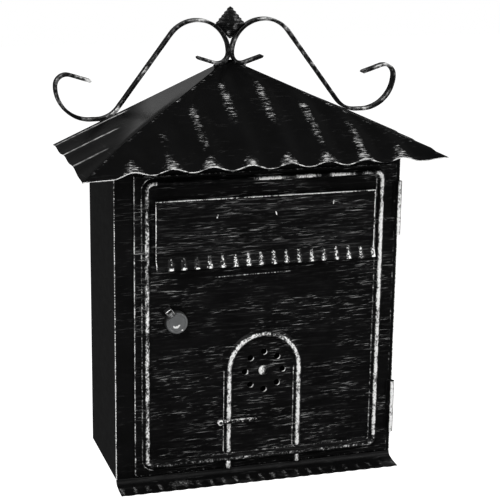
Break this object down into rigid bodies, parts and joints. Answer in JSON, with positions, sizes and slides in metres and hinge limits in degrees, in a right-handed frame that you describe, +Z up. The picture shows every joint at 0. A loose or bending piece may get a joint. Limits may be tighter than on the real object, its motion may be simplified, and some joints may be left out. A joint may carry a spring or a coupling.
{
  "type": "wall mounted mailbox",
  "caption": "Wall mounted steel mailbox with a corrugated hipped roof, twin scrolls, an embossed locking door and a letter flap.",
  "frame": {"origin": "centre of the four wall-screw holes on the back panel's rear face, in the wall plane", "axes": "+Z up, +Y into the wall, +X to the right seen from the front"},
  "size_m": [0.325, 0.1327, 0.4116],
  "materials": {
    "black_paint": "semi-gloss black paint",
    "brushed_black_paint": "semi-gloss black paint with silver dry-brushed streaks",
    "roof_paint": "gloss black paint with silver dry-brushed crests",
    "wrought_paint": "black paint with silver rubbed on the edges",
    "plated_steel": "zinc plated",
    "lock_metal": "darkened zinc alloy",
    "cap_grey": "satin grey"
  },
  "bodies": {
    "casing": {"back_panel": "black_paint", "left_side_panel": "black_paint", "right_side_panel": "black_paint", "bottom_panel": "black_paint", "front_header": "black_paint", "base_apron": "black_paint", "roof_front_panel": "roof_paint", "roof_left_panel": "roof_paint", "roof_right_panel": "roof_paint", "left_scroll": "wrought_paint", "right_scroll": "wrought_paint", "scroll_weld_beads": "wrought_paint", "finial": "wrought_paint", "upper_hinge_frame_leaf": "black_paint", "lower_hinge_frame_leaf": "black_paint", "upper_hinge_pin": "plated_steel", "lower_hinge_pin": "plated_steel"},
    "door": {"door_panel": "brushed_black_paint", "vent_boss": "brushed_black_paint", "door_handle": "brushed_black_paint", "upper_hinge_door_leaf": "black_paint", "lower_hinge_door_leaf": "black_paint", "lock_body": "lock_metal", "lock_washer": "plated_steel", "lock_nut": "plated_steel", "cap_hinge_tab": "lock_metal", "cap_hinge_pin": "plated_steel", "left_flap_lug": "black_paint", "right_flap_lug": "black_paint", "flap_rod": "plated_steel"},
    "flap": {"letter_flap": "brushed_black_paint", "left_flap_knuckle": "black_paint", "right_flap_knuckle": "black_paint"},
    "lock": {"lock_plug": "lock_metal", "lock_cam": "plated_steel", "cam_screw": "plated_steel"},
    "lock_cap": {"lock_weather_cap": "cap_grey"}
  },
  "joints": [
    {"name": "door_hinge", "type": "hinge", "parent": "casing", "child": "door", "pos_m": [0.1284, -0.1051, -0.025], "axis": [0, 0, 1], "range_deg": [0, 170]},
    {"name": "flap_hinge", "type": "hinge", "parent": "door", "child": "flap", "pos_m": [0.005, -0.1056, 0.0906], "axis": [-1, 0, 0], "range_deg": [0, 80]},
    {"name": "lock_turn", "type": "hinge", "parent": "door", "child": "lock", "pos_m": [-0.0764, -0.098, -0.0163], "axis": [0, 1, 0], "range_deg": [0, 90]},
    {"name": "cap_swing", "type": "hinge", "parent": "door", "child": "lock_cap", "pos_m": [-0.08155, -0.1091, -0.00867], "axis": [-0.829, 0, -0.5592], "range_deg": [0, 88]}
  ]
}
